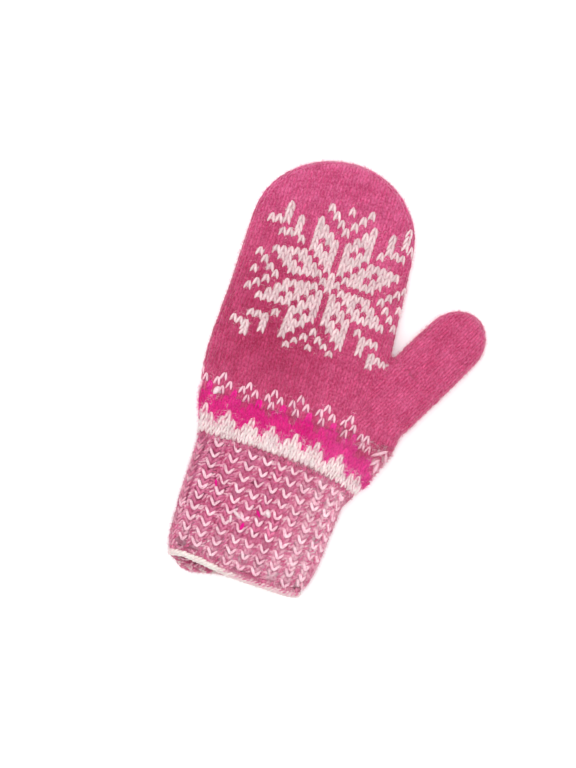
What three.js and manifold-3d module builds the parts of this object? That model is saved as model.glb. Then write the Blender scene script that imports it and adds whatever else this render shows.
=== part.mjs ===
// A knitted wool mitten for a right hand, lying flat with the back of the hand up.
// Millimetres, +Z up, fingertips along +Y, thumb towards +X, resting on z = 0.

import * as THREE from 'three';
import { mergeVertices } from 'three/addons/utils/BufferGeometryUtils.js';
import Module from 'manifold-3d';

// Driving sizes
const mittenLength = 260;
const handWidth = 104;
const handHeight = 18;
const crownLength = 47;
const cuffLength = 74;
const cuffWidth = 96;
const cuffHeight = 16;
const bandLength = 27;
const edgeLength = 4.6;
const edgeRoll = 0.7;
const edgeWave = 0.5;
const thumbLength = 57;
const thumbWidth = 37.8;
const thumbHeight = 15;
const thumbAngle = 28;
const thumbTipLength = 21.5;
const gussetReach = 25;
const mouthHang = 8.2;

// Knitted walls, with the rib's relief and the gap kept where two knitted parts meet
const handWall = 2.7;
const cuffWall = 3;
const thumbWall = 2.6;
const ribColumns = 22;
const ribDepth = 0.9;
const seamGap = 0.3;

// Places worked out from the driving sizes
const cuffTop = cuffLength;
const bandTop = cuffLength + bandLength;
const crownStart = mittenLength - crownLength;
const palmLength = crownStart - cuffLength;
const crotchShare = 0.555;
const crotchAlong = cuffLength + crotchShare * palmLength;
const openEnd = 6;
const thumbSeam = 0.06 * thumbLength;
const thumbOverlap = 0.8;

// Side lines of the cuff: place along the cuff, sides as shares of half its width, height as a share
const cuffSections = [
  { along: 0.00, left: -0.90, right: 0.84, height: 0.86 },
  { along: 0.03, left: -0.93, right: 0.88, height: 0.90 },
  { along: 0.12, left: -0.97, right: 0.93, height: 0.94 },
  { along: 0.27, left: -0.98, right: 0.97, height: 0.97 },
  { along: 0.49, left: -1.00, right: 0.99, height: 1.00 },
  { along: 0.68, left: -1.00, right: 1.01, height: 1.00 },
  { along: 0.80, left: -1.00, right: 1.03, height: 0.98 },
  { along: 0.90, left: -1.00, right: 1.13, height: 0.97 },
  { along: 1.00, left: -1.01, right: 1.22, height: 0.97 },
];

// Side lines of the hand from the cuff to where the crown begins: place as a share of that length,
// sides as shares of half the hand's width, the thumb gusset as a share of its reach
const handSections = [
  { along: 0.00, left: -0.93, right: 0.90, gusset: 0.47, height: 0.86 },
  { along: 0.06, left: -0.98, right: 0.92, gusset: 0.56, height: 0.88 },
  { along: 0.17, left: -1.07, right: 0.95, gusset: 0.73, height: 0.95 },
  { along: 0.26, left: -1.12, right: 0.95, gusset: 0.86, height: 0.99 },
  { along: 0.34, left: -1.15, right: 0.95, gusset: 0.88, height: 1.00 },
  { along: 0.42, left: -1.15, right: 0.94, gusset: 0.70, height: 1.00 },
  { along: 0.48, left: -1.15, right: 0.94, gusset: 0.38, height: 1.00 },
  { along: 0.55, left: -1.14, right: 0.94, gusset: 0.07, height: 1.00 },
  { along: 0.64, left: -1.13, right: 0.93, gusset: 0.00, height: 1.00 },
  { along: 0.79, left: -1.13, right: 0.90, gusset: 0.00, height: 0.98 },
  { along: 0.90, left: -1.13, right: 0.87, gusset: 0.00, height: 0.95 },
  { along: 1.00, left: -1.125, right: 0.84, gusset: 0.00, height: 0.91 },
];

// The crown's end, as shares of half the hand's width and of the hand's height, and how fast it flattens
const crownEnd = { middle: -0.095, height: 0.42, lift: 0.07, flatten: 0.7, wallDraw: 1.25 };

// The thumb along its own axis: the crotch is at 0 and the tip's rounding begins at 1
const thumbSections = [
  { along: -1.00, width: 0.96, height: 0.92 },
  { along: -0.60, width: 1.00, height: 1.00 },
  { along: 0.00, width: 1.00, height: 1.00 },
  { along: 0.60, width: 1.00, height: 0.98 },
  { along: 1.00, width: 0.98, height: 0.94 },
];
const thumbEnd = { height: 0.42, lift: 0.08, flatten: 0.75, wallDraw: 1.2 };
const thumbRootLength = 0.95 * thumbWidth;

// How far the two layers of the cuff's mouth hang past its foot, as shares of the mouth's hang:
// place from the centre line as a share of half the cuff's width
const mouthLine = [
  { along: -0.92, upper: 0.00, under: 0.12 },
  { along: -0.79, upper: -0.08, under: 0.50 },
  { along: -0.68, upper: -0.17, under: 0.93 },
  { along: -0.54, upper: -0.15, under: 1.00 },
  { along: -0.32, upper: 0.04, under: 0.70 },
  { along: -0.04, upper: 0.27, under: 0.38 },
  { along: 0.42, upper: 0.32, under: 0.34 },
  { along: 0.74, upper: 0.31, under: 0.30 },
  { along: 0.90, upper: 0.12, under: 0.12 },
];
const mouthFade = 0.55;
const mouthLayers = [0.2, 0.75];

// The rib's columns lean: how far the first is turned round the cuff, as shares of its girth
const ribTurn = { foot: -0.039, top: -0.013 };

// Soft hollows in the upper side: place from the centre line and from the cuff's top, as shares of
// half the hand's width and of the palm's length; reach as shares of the hand's width; depth of its height
const hollows = [
  { name: 'gusset valley', x: 0.93, y: 0.37, turn: -14, long: 0.34, wide: 0.085, deep: 0.11 },
  { name: 'palm dip', x: -0.15, y: 0.45, turn: -24, long: 0.42, wide: 0.20, deep: 0.045 },
  { name: 'finger dip', x: 0.10, y: 0.92, turn: 10, long: 0.30, wide: 0.16, deep: 0.04 },
  { name: 'wrist fold', x: -0.35, y: 0.02, turn: 82, long: 0.34, wide: 0.075, deep: 0.05 },
];

// Facets round each section, and the roundness of the sections
const cuffFacets = ribColumns * 4;
const handFacets = 52;
const thumbFacets = 32;
const innerFacets = 32;
const traceSteps = 240;
const cuffRoundness = 3.0;
const handRoundness = 2.6;
const sideHeight = 0.46;
const underSink = 0.16;

const wasm = await Module();
wasm.setup();

const mix = (a, b, t) => a + (b - a) * t;

// Reads a table at any place along it, smoothly through its rows
function readTable(rows, place, column) {
  const last = rows.length - 1;
  if (place <= rows[0].along) return rows[0][column];
  if (place >= rows[last].along) return rows[last][column];
  let k = 0;
  while (rows[k + 1].along < place) k += 1;
  const before = rows[Math.max(k - 1, 0)];
  const after = rows[Math.min(k + 2, last)];
  const span = rows[k + 1].along - rows[k].along;
  const t = (place - rows[k].along) / span;
  const riseIn = (rows[k + 1][column] - before[column]) / (rows[k + 1].along - before.along) * span;
  const riseOut = (after[column] - rows[k][column]) / (after.along - rows[k].along) * span;
  const t2 = t * t;
  const t3 = t2 * t;
  return (2 * t3 - 3 * t2 + 1) * rows[k][column] + (t3 - 2 * t2 + t) * riseIn
    + (3 * t2 - 2 * t3) * rows[k + 1][column] + (t3 - t2) * riseOut;
}

// How far the upper side sinks at a place
function sinkAt(x, y) {
  let sink = 0;
  for (const hollow of hollows) {
    const turn = THREE.MathUtils.degToRad(hollow.turn);
    const dx = x - hollow.x * handWidth / 2;
    const dy = y - cuffTop - hollow.y * palmLength;
    const across = (dx * Math.cos(turn) + dy * Math.sin(turn)) / (hollow.wide * handWidth);
    const along = (dy * Math.cos(turn) - dx * Math.sin(turn)) / (hollow.long * handWidth);
    sink += hollow.deep * handHeight * Math.exp(-across * across - along * along);
  }
  return sink;
}

// The flat-lying cuff at a place along it; the gusset begins to widen its thumb side near the top
function cuffAt(y) {
  const place = y / cuffLength;
  return {
    left: readTable(cuffSections, place, 'left') * cuffWidth / 2,
    right: readTable(cuffSections, place, 'right') * cuffWidth / 2,
    low: 0,
    high: readTable(cuffSections, place, 'height') * cuffHeight,
    sinks: false,
  };
}

// The flat-lying hand at a place along it, drawn in by inset; the crown's plan is two quarter ellipses
function handAt(y, inset) {
  const place = (y - cuffTop) / palmLength;
  const sideRight = readTable(handSections, place, 'right') * handWidth / 2
    + readTable(handSections, place, 'gusset') * gussetReach;
  const sideLeft = readTable(handSections, place, 'left') * handWidth / 2;
  const high = readTable(handSections, place, 'height') * handHeight;
  if (y <= crownStart) {
    return { left: sideLeft + inset, right: sideRight - inset, low: inset, high: high - inset, sinks: true };
  }
  const reach = Math.min((y - crownStart) / (crownLength - inset), 1);
  const round = Math.sqrt(Math.max(1 - reach * reach, 0));
  const middle = crownEnd.middle * handWidth / 2;
  const flat = Math.pow(round, crownEnd.flatten);
  const low = crownEnd.lift * handHeight * (1 - flat);
  const top = mix(crownEnd.height * handHeight, high, flat);
  return {
    left: middle + (sideLeft + inset - middle) * round,
    right: middle + (sideRight - inset - middle) * round,
    low: low + inset * flat,
    high: top - inset * mix(crownEnd.wallDraw, 1, flat),
    sinks: true,
  };
}

// One closed loop round a section, with its points spread evenly along its length from the top middle,
// or from a start turned away from it by a share of that length
function traceSection(section, roundness, facets, start = 0) {
  const middle = (section.left + section.right) / 2;
  const half = (section.right - section.left) / 2;
  const tall = section.high - section.low;
  const power = 2 / roundness;
  const trace = [];
  for (let i = 0; i <= traceSteps; i += 1) {
    const turn = i / traceSteps * 2 * Math.PI;
    const side = Math.sin(turn);
    const rise = Math.cos(turn);
    const x = middle + half * Math.sign(side) * Math.pow(Math.abs(side), power);
    const up = tall * (1 - sideHeight) * Math.pow(Math.abs(rise), power);
    const down = tall * (sideHeight + underSink) * Math.pow(Math.abs(rise), power);
    const z = rise >= 0 ? up : Math.max(-down, -tall * sideHeight);
    trace.push(new THREE.Vector2(x, section.low + tall * sideHeight + z));
  }
  const lengths = [0];
  for (let i = 1; i < trace.length; i += 1) {
    lengths.push(lengths[i - 1] + trace[i].distanceTo(trace[i - 1]));
  }
  return Array.from({ length: facets }, (none, i) => {
    const wanted = THREE.MathUtils.euclideanModulo(i / facets + start, 1) * lengths[traceSteps];
    const k = Math.max(lengths.findIndex((length) => length > wanted) - 1, 0);
    const t = (wanted - lengths[k]) / (lengths[k + 1] - lengths[k]);
    return trace[k].clone().lerp(trace[k + 1], t);
  });
}

// Raises the knit columns of the rib from the section's loop, and lets its foot stay on the surface
function ribLoop(loop, depth) {
  const count = loop.length;
  return loop.map((point, i) => {
    const ahead = loop[(i + 1) % count];
    const behind = loop[(i + count - 1) % count];
    const out = new THREE.Vector2(behind.y - ahead.y, ahead.x - behind.x).normalize();
    const swell = 0.5 + 0.5 * Math.cos(i / count * ribColumns * 2 * Math.PI);
    const moved = point.clone().addScaledVector(out, -depth * (1 - swell));
    moved.y = Math.max(moved.y, 0);
    return moved;
  });
}

// A closed solid through loops of the same number of points, each loop a list of Vector3;
// a ring's last loop is joined to its first, and any other loft is capped at both ends
function loftSolid(loops, isRing = false) {
  const facets = loops[0].length;
  const places = [];
  for (const loop of loops) {
    for (const point of loop) places.push(point.x, point.y, point.z);
  }
  const faces = [];
  for (let j = 0; j < loops.length - (isRing ? 0 : 1); j += 1) {
    const next = (j + 1) % loops.length;
    for (let i = 0; i < facets; i += 1) {
      const turned = (i + 1) % facets;
      const [a, b, c, d] = [j * facets + i, j * facets + turned, next * facets + turned, next * facets + i];
      faces.push(a, b, c, a, c, d);
    }
  }
  for (const [j, outward] of isRing ? [] : [[0, false], [loops.length - 1, true]]) {
    const start = j * facets;
    const centre = new THREE.Vector3();
    for (const point of loops[j]) centre.add(point);
    centre.divideScalar(facets);
    const hub = places.length / 3;
    places.push(centre.x, centre.y, centre.z);
    for (let i = 0; i < facets; i += 1) {
      const next = start + (i + 1) % facets;
      if (outward) faces.push(start + i, next, hub);
      else faces.push(next, start + i, hub);
    }
  }
  const geometry = new THREE.BufferGeometry();
  geometry.setAttribute('position', new THREE.Float32BufferAttribute(places, 3));
  geometry.setIndex(faces);
  return toSolid(geometry);
}

function toSolid(geometry) {
  const plain = geometry.clone();
  plain.deleteAttribute('normal');
  plain.deleteAttribute('uv');
  const merged = mergeVertices(plain, 1e-4);
  return new wasm.Manifold(new wasm.Mesh({
    numProp: 3,
    vertProperties: new Float32Array(merged.attributes.position.array),
    triVerts: new Uint32Array(merged.index.array),
  }));
}

function toGeometry(solid) {
  const mesh = solid.getMesh();
  const geometry = new THREE.BufferGeometry();
  geometry.setAttribute('position', new THREE.Float32BufferAttribute(mesh.vertProperties, 3));
  geometry.setIndex(new THREE.BufferAttribute(new Uint32Array(mesh.triVerts), 1));
  geometry.computeVertexNormals();
  return geometry;
}

// Puts a section's loop at its place along Y, with the hollows of the upper side pressed in
function placeLoop(loop, section, y) {
  return loop.map((point) => {
    const share = (point.y - section.low) / (section.high - section.low);
    const weight = section.sinks ? THREE.MathUtils.smoothstep(share, sideHeight, 1) : 0;
    return new THREE.Vector3(point.x, y, point.y - weight * sinkAt(point.x, y));
  });
}

// A block between two places along Y, wider than the mitten, for trimming
function trimBlock(from, to) {
  const block = new THREE.BoxGeometry(4 * handWidth, to - from, 4 * handHeight);
  block.translate(0, (from + to) / 2, 0);
  return toSolid(block);
}

function evenPlaces(from, to, steps) {
  return Array.from({ length: steps + 1 }, (none, i) => mix(from, to, i / steps));
}

// Lets the mouth's upper and under layers hang past the foot, less and less up the cuff
function hangMouth(loop) {
  return loop.map((point) => {
    const place = point.x / (cuffWidth / 2);
    const share = THREE.MathUtils.smoothstep(point.z / cuffHeight, ...mouthLayers);
    const hang = mix(readTable(mouthLine, place, 'under'), readTable(mouthLine, place, 'upper'), share);
    const fade = 1 - THREE.MathUtils.smoothstep(point.y, 0, mouthFade * cuffLength);
    return new THREE.Vector3(point.x, point.y - hang * mouthHang * fade, point.z);
  });
}

// A loop of the cuff at a place along it, with its points on the rib's leaning columns
function traceCuff(section, y) {
  return traceSection(section, cuffRoundness, cuffFacets, mix(ribTurn.foot, ribTurn.top, y / cuffLength));
}

// The cuff's inner side at a place along it
function cuffInner(y) {
  const section = cuffAt(y);
  section.left += cuffWall;
  section.right -= cuffWall;
  section.low += cuffWall;
  section.high -= cuffWall;
  return placeLoop(traceCuff(section, y), section, y);
}

// The cuff, ribbed outside and smooth inside
function cuffSolid(from, to, steps) {
  const places = evenPlaces(from, to, steps);
  const outer = places.map((y) => {
    const section = cuffAt(y);
    return placeLoop(ribLoop(traceCuff(section, y), ribDepth), section, y);
  });
  return loftSolid([...outer, ...places.reverse().map(cuffInner)].map(hangMouth), true);
}

// The cast-on edge: a rolled, slightly wavy ring at the cuff's mouth
const edgeProfile = [
  { along: 0.00, out: -1.6 },
  { along: 0.14, out: -0.5 },
  { along: 0.36, out: 0.5 },
  { along: 0.64, out: 0.6 },
  { along: 0.86, out: 0.1 },
  { along: 1.00, out: -0.3 },
];

function edgeSolid() {
  const outer = edgeProfile.map((row, j) => {
    const y = row.along * edgeLength;
    const section = cuffAt(0);
    section.left -= row.out * edgeRoll;
    section.right += row.out * edgeRoll;
    section.low = Math.max(0, -row.out * edgeRoll);
    section.high += row.out * edgeRoll;
    const wave = j === 0 ? edgeWave : 0;
    return traceCuff(section, y).map((point, i) => {
      const ripple = wave * Math.sin(i / cuffFacets * 2 * Math.PI * 5 + 0.8);
      return new THREE.Vector3(point.x, y + ripple, point.y);
    });
  });
  return loftSolid([...outer, cuffInner(edgeLength), cuffInner(0)].map(hangMouth), true);
}

// The hand with its crown and gusset, drawn in by inset
function handPlaces(from, inset) {
  const palm = evenPlaces(from, crownStart, 13);
  const crown = evenPlaces(0, 1, 9).slice(1);
  const reach = crownLength - inset;
  return palm.concat(crown.map((t) => crownStart + reach * Math.sin(t * Math.PI / 2 * 0.972)));
}

function handSolid(from, inset, facets) {
  const loops = handPlaces(from, inset).map((y) => {
    const section = handAt(y, inset);
    return placeLoop(traceSection(section, handRoundness, facets), section, y);
  });
  return loftSolid(loops);
}

// The thumb's own frame: its axis leaves the gusset at the crotch's height
const thumbTurn = THREE.MathUtils.degToRad(thumbAngle);
const crotchSection = handAt(crotchAlong, 0);
const thumbRun = new THREE.Vector3(Math.sin(thumbTurn), Math.cos(thumbTurn), 0);
const thumbAcross = new THREE.Vector3(Math.cos(thumbTurn), -Math.sin(thumbTurn), 0);
const thumbRoot = new THREE.Vector3(crotchSection.right, crotchAlong, 0)
  .addScaledVector(thumbAcross, thumbWidth / 2 - thumbOverlap);

function thumbSolid(inset, facets) {
  const straight = thumbLength - thumbTipLength;
  const rootPlaces = [-1, -0.6, -0.2].map((share) => share * thumbRootLength);
  const places = rootPlaces.concat([0.25, 0.62, 1].map((share) => share * straight));
  const tip = thumbTipLength - inset;
  for (const t of evenPlaces(0, 1, 7).slice(1)) places.push(straight + tip * Math.sin(t * Math.PI / 2 * 0.965));
  const loops = places.map((place) => {
    const share = place < 0 ? place / thumbRootLength : place / straight;
    const round = place > straight ? Math.sqrt(1 - ((place - straight) / tip) ** 2) : 1;
    const flat = Math.pow(round, thumbEnd.flatten);
    const half = (readTable(thumbSections, share, 'width') * thumbWidth / 2 - inset) * round;
    const tall = readTable(thumbSections, share, 'height') * thumbHeight;
    const lift = thumbEnd.lift * thumbHeight * (1 - flat);
    const section = {
      left: -half,
      right: half,
      low: lift + inset * flat,
      high: mix(thumbEnd.height * thumbHeight, tall, flat) - inset * mix(thumbEnd.wallDraw, 1, flat),
    };
    return traceSection(section, handRoundness, facets).map((point) => {
      const at = thumbRoot.clone().addScaledVector(thumbRun, place).addScaledVector(thumbAcross, point.x);
      at.z = point.y;
      return at;
    });
  });
  return loftSolid(loops);
}

// Everything past a place on the thumb's axis
function pastThumbSeam(place) {
  const size = 4 * mittenLength;
  const block = new THREE.BoxGeometry(size, size, size);
  block.translate(0, size / 2 + place, 0);
  block.rotateZ(-thumbTurn);
  block.translate(thumbRoot.x, thumbRoot.y, 0);
  return toSolid(block);
}

// The palm carries the thumb's root up to the seam, and the thumb keeps its gap to the palm's side
const palmOuter = handSolid(cuffTop + seamGap, 0, handFacets);
const thumbOuter = thumbSolid(0, thumbFacets);
const hollow = handSolid(cuffTop - openEnd, handWall, innerFacets).add(thumbSolid(thumbWall, innerFacets));
const palmShell = palmOuter.add(thumbOuter.subtract(pastThumbSeam(thumbSeam - seamGap))).subtract(hollow);
const palmAround = handSolid(cuffTop + seamGap, -seamGap, handFacets);
const thumbShell = thumbOuter.intersect(pastThumbSeam(thumbSeam)).subtract(palmAround).subtract(hollow);

function addPiece(group, name, solid, colour, roughness) {
  const material = new THREE.MeshStandardMaterial({ color: colour, roughness, metalness: 0 });
  const piece = new THREE.Mesh(toGeometry(solid), material);
  piece.name = name;
  group.add(piece);
}

const pieces = new THREE.Group();
addPiece(pieces, 'cuff_edge', edgeSolid(), 0xf3e6e2, 0.95);
addPiece(pieces, 'cuff', cuffSolid(edgeLength + seamGap, cuffTop, 8), 0xd9708f, 0.95);
addPiece(pieces, 'wrist_band', palmShell.subtract(trimBlock(bandTop, 2 * mittenLength)), 0xe5188a, 0.98);
addPiece(pieces, 'hand', palmShell.subtract(trimBlock(-mittenLength, bandTop + seamGap)), 0xcc4778, 0.95);
addPiece(pieces, 'thumb', thumbShell, 0xcc4778, 0.95);

// The whole mitten stands with the middle of its foot on the origin
const reach = new THREE.Box3().setFromObject(pieces);
const middle = reach.getCenter(new THREE.Vector3());
pieces.position.set(-middle.x, -middle.y, -reach.min.z);

const mitten = new THREE.Group();
mitten.add(pieces);

export default mitten;
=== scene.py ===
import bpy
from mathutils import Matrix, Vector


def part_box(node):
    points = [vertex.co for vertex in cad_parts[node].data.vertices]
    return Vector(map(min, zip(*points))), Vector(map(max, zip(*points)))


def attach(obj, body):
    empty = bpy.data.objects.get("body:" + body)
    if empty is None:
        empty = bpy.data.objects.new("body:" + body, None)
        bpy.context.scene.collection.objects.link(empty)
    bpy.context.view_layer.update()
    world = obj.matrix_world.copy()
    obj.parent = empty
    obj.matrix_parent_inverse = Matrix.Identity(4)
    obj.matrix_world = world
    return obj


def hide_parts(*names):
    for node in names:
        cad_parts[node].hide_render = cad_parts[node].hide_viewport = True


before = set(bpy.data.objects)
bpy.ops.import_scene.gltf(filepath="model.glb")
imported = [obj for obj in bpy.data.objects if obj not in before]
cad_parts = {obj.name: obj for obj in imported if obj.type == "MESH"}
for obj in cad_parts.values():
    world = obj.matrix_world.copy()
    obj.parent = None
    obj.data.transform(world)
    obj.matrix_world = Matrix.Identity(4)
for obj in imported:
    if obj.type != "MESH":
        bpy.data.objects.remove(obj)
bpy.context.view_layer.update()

import math

import bpy
import numpy as np
from mathutils import Matrix, Vector, noise
from mathutils.bvhtree import BVHTree
from mathutils.kdtree import KDTree

print("frame loaded")

# The knitter's own measures: metres, with the cuff's foot at y = 0 and the star's middle at x = 0
mitten = {
    "length": 0.260, "handWidth": 0.104, "handHeight": 0.018, "crownLength": 0.047,
    "cuffLength": 0.074, "cuffWidth": 0.096, "cuffHeight": 0.016,
    "gussetReach": 0.025, "thumbLength": 0.057, "thumbWidth": 0.0378, "thumbHeight": 0.015,
    "thumbAngle": 28, "thumbTipLength": 0.0215, "crotchShare": 0.555, "mouthHang": 0.0082,
    "wale": 0.0042,         # one stitch across
}
crownStart = mitten["length"] - mitten["crownLength"]
palmLength = crownStart - mitten["cuffLength"]
halfHand = mitten["handWidth"] / 2
halfCuff = mitten["cuffWidth"] / 2

# Section tables, as on the solids: place, left, right, (gusset,) height
cuffSections = np.array([
    (0.00, -0.90, 0.84, 0.86), (0.03, -0.93, 0.88, 0.90), (0.12, -0.97, 0.93, 0.94),
    (0.27, -0.98, 0.97, 0.97), (0.49, -1.00, 0.99, 1.00), (0.68, -1.00, 1.01, 1.00),
    (0.80, -1.00, 1.03, 0.98), (0.90, -1.00, 1.13, 0.97), (1.00, -1.01, 1.22, 0.97)])
handSections = np.array([
    (0.00, -0.93, 0.90, 0.47, 0.86), (0.06, -0.98, 0.92, 0.56, 0.88), (0.17, -1.07, 0.95, 0.73, 0.95),
    (0.26, -1.12, 0.95, 0.86, 0.99), (0.34, -1.15, 0.95, 0.88, 1.00), (0.42, -1.15, 0.94, 0.70, 1.00),
    (0.48, -1.15, 0.94, 0.38, 1.00), (0.55, -1.14, 0.94, 0.07, 1.00), (0.64, -1.13, 0.93, 0.00, 1.00),
    (0.79, -1.13, 0.90, 0.00, 0.98), (0.90, -1.13, 0.87, 0.00, 0.95), (1.00, -1.125, 0.84, 0.00, 0.91)])
thumbSections = np.array([
    (-1.00, 0.96, 0.92), (-0.60, 1.00, 1.00), (0.00, 1.00, 1.00), (0.60, 1.00, 0.98), (1.00, 0.98, 0.94)])
# The cuff's mouth: place across, and how far its upper and under layer hang, as shares of the hang
mouthLine = np.array([
    (-0.92, 0.00, 0.12), (-0.79, -0.08, 0.50), (-0.68, -0.12, 0.93), (-0.54, -0.07, 1.00), (-0.32, 0.07, 0.70),
    (-0.04, 0.27, 0.38), (0.42, 0.32, 0.34), (0.74, 0.31, 0.30), (0.90, 0.12, 0.12)])

# Where the measures lie in the frame: the hand's left side and the crown's tip are the solids' own
widestShare = 1.15
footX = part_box("hand")[0].x + widestShare * halfHand
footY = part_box("hand")[1].y - mitten["length"]


def colour(code):
    parts = [int(code[i:i + 2], 16) / 255 for i in (0, 2, 4)]
    return np.array([p / 12.92 if p <= 0.04045 else ((p + 0.055) / 1.055) ** 2.4 for p in parts])


yarns = {
    "pink": colour("CB4C7A"), "cream": colour("E4D0D1"), "hotPink": colour("E01088"), "hotPale": colour("E6479F"),
    "diamond": colour("F0CAD5"), "peak": colour("F6E8E4"), "underPeak": colour("E2B0BC"),
    "underWhite": colour("D8B0B9"), "underDiamond": colour("BE5A80"),
    "cuffPink": colour("D0678E"), "cuffCream": colour("F4CBD7"), "cuffShade": colour("BD4C76"),
    "slub": colour("EBD9DC"), "edge": colour("F4EEE5"), "lip": colour("E3A3B7"),
}


def mixed(tone, other, share):
    return tone * (1 - share) + other * share


# Shader and geometry nodes
class Wire:
    # A node's output that can be used in sums
    def __init__(self, maker, node, socket):
        self.maker, self.node, self.socket = maker, node, socket

    def beside(self, name):
        return Wire(self.maker, self.node, self.node.outputs[name])

    def __add__(self, other): return self.maker.sum("ADD", self, other)
    def __sub__(self, other): return self.maker.sum("SUBTRACT", self, other)
    def __rsub__(self, other): return self.maker.sum("SUBTRACT", other, self)
    def __mul__(self, other): return self.maker.sum("MULTIPLY", self, other)
    def __pow__(self, other): return self.maker.sum("POWER", self, other)


class Maker:
    def __init__(self, tree):
        self.tree = tree
        tree.nodes.clear()

    def node(self, kind, settings=None, wires=None, out=None):
        made = self.tree.nodes.new(kind)
        for name, value in (settings or {}).items():
            setattr(made, name, value)
        for name, value in (wires or {}).items():
            if isinstance(name, int):
                socket = made.inputs[name]
            else:
                socket = next(s for s in made.inputs if s.name == name and s.enabled)
            if isinstance(value, Wire):
                self.tree.links.new(value.socket, socket)
            else:
                socket.default_value = value
        outs = [s for s in made.outputs if s.enabled and (out is None or s.name == out)]
        return Wire(self, made, outs[0] if outs else None)

    def sum(self, operation, first, second):
        return self.node("ShaderNodeMath", {"operation": operation}, {0: first, 1: second})

    def blend(self, factor, first, second):
        return self.node("ShaderNodeMix", {"data_type": "RGBA"}, {"Factor": factor, "A": first, "B": second})

    def times(self, first, second):
        return self.node("ShaderNodeVectorMath", {"operation": "MULTIPLY"}, {0: first, 1: second})

    def scaled(self, vector, factor):
        return self.node("ShaderNodeVectorMath", {"operation": "SCALE"}, {0: vector, "Scale": factor})

    def noise(self, place, scale, detail, roughness):
        return self.node("ShaderNodeTexNoise", wires={
            "Vector": place, "Scale": scale, "Detail": detail, "Roughness": roughness}, out="Fac")

    def stored(self, name, kind="FLOAT"):
        return self.node("GeometryNodeInputNamedAttribute", {"data_type": kind}, {"Name": name})

    def random(self, kind, low, high, seed):
        return self.node("FunctionNodeRandomValue", {"data_type": kind}, {"Min": low, "Max": high, "Seed": seed})

    def finish(self, placed, wool):
        # A tree ends in real, smooth geometry of the given wool
        real = self.node("GeometryNodeRealizeInstances", wires={"Geometry": placed})
        smooth = self.node("GeometryNodeSetShadeSmooth", wires={"Geometry": real})
        done = self.node("GeometryNodeSetMaterial", wires={"Geometry": smooth, "Material": wool})
        self.node("NodeGroupOutput", wires={"Geometry": done})


def woolMaterial(name, look):
    material = bpy.data.materials.new(name)
    material.use_nodes = True
    maker = Maker(material.node_tree)
    place = maker.node("ShaderNodeTexCoord", out="Object")
    tone = maker.node("ShaderNodeAttribute", {"attribute_name": "tone"}, out="Color")
    # Heather: fibres of lighter and darker wool, and soft clouds of them
    stretched = maker.node("ShaderNodeMapping", wires={"Vector": place, "Scale": (1, 0.7, 1)})
    fibres = maker.noise(stretched, look["fibreScale"], 2.0, 0.6)
    clouds = maker.noise(place, look["cloudScale"], 2.0, 0.5)
    mixed = fibres * (1 - look["clouds"]) + clouds * look["clouds"]
    spread = maker.node("ShaderNodeMapRange", wires={
        "Value": mixed, "From Min": look["spread"][0], "From Max": look["spread"][1]})
    base = maker.blend(spread, maker.times(tone, look["dark"]), maker.times(tone, look["light"]))
    # Painted shade: a strand's flanks are darker than its crest
    trough = maker.node("ShaderNodeAttribute", {"attribute_name": "trough"}, out="Fac")
    base = maker.blend(trough, base, maker.times(base, look["flankShade"]))
    # Fine strands as bump
    strands = maker.noise(place, look["strandScale"], 3.0, 0.7)
    bump = maker.node("ShaderNodeBump", wires={
        "Strength": look["strandDepth"], "Distance": 0.0004, "Height": strands})
    shader = maker.node("ShaderNodeBsdfPrincipled", wires={
        "Base Color": base, "Roughness": 0.92, "Specular IOR Level": 0.12, "Normal": bump,
        "Sheen Weight": look["sheen"], "Sheen Roughness": 0.45, "Sheen Tint": (1.0, 0.86, 0.9, 1.0),
        "Subsurface Weight": look["glow"], "Subsurface Radius": (1.0, 0.5, 0.6), "Subsurface Scale": 0.0012})
    maker.node("ShaderNodeOutputMaterial", wires={"Surface": shader})
    return material


# Dark, light and flankShade are multiples of the yarn's own colour; flankShade is painted shade on the strands'
# flanks
plainLook = {"fibreScale": 950, "cloudScale": 110, "clouds": 0.3, "spread": (0.39, 0.61),
             "dark": (0.8, 0.55, 0.68), "light": (1.13, 1.6, 1.36), "flankShade": (0.8, 0.56, 0.68),
             "strandScale": 2600, "strandDepth": 0.35, "sheen": 0.6, "glow": 0.12}
paleLook = {**plainLook, "dark": (0.92, 0.84, 0.87), "light": (1.03, 1.05, 1.04), "glow": 0.2}
ribLook = {**plainLook, "fibreScale": 620, "cloudScale": 260, "clouds": 0.45}
wools = {
    "pink": woolMaterial("pinkWool", plainLook),
    "hotPink": woolMaterial("hotPinkWool", {**plainLook, "dark": (0.86, 0.7, 0.8), "light": (1.06, 1.5, 1.12),
                                            "flankShade": (0.96, 0.9, 0.93), "sheen": 0.3}),
    "fuzz": woolMaterial("looseWool", {**plainLook, "dark": (0.86, 0.8, 0.83), "light": (1.07, 1.07, 1.07),
                                       "sheen": 0.3}),
    "peak": woolMaterial("peakWool", {**paleLook, "dark": (0.92, 0.82, 0.87), "flankShade": (0.97, 0.62, 0.78)}),
    "cream": woolMaterial("creamWool", {**paleLook, "flankShade": (0.96, 0.7, 0.78)}),
    "rib": woolMaterial("ribWool", {**ribLook, "spread": (0.4, 0.6), "dark": (0.82, 0.56, 0.69),
                                    "light": (1.12, 1.6, 1.36), "flankShade": (0.96, 0.8, 0.86)}),
    "ribWhite": woolMaterial("ribWhiteWool", {**ribLook, "dark": (0.92, 0.76, 0.83), "light": (1.04, 1.16, 1.1),
                                              "flankShade": (0.94, 0.72, 0.8)}),
}
print("wool materials made")


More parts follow.
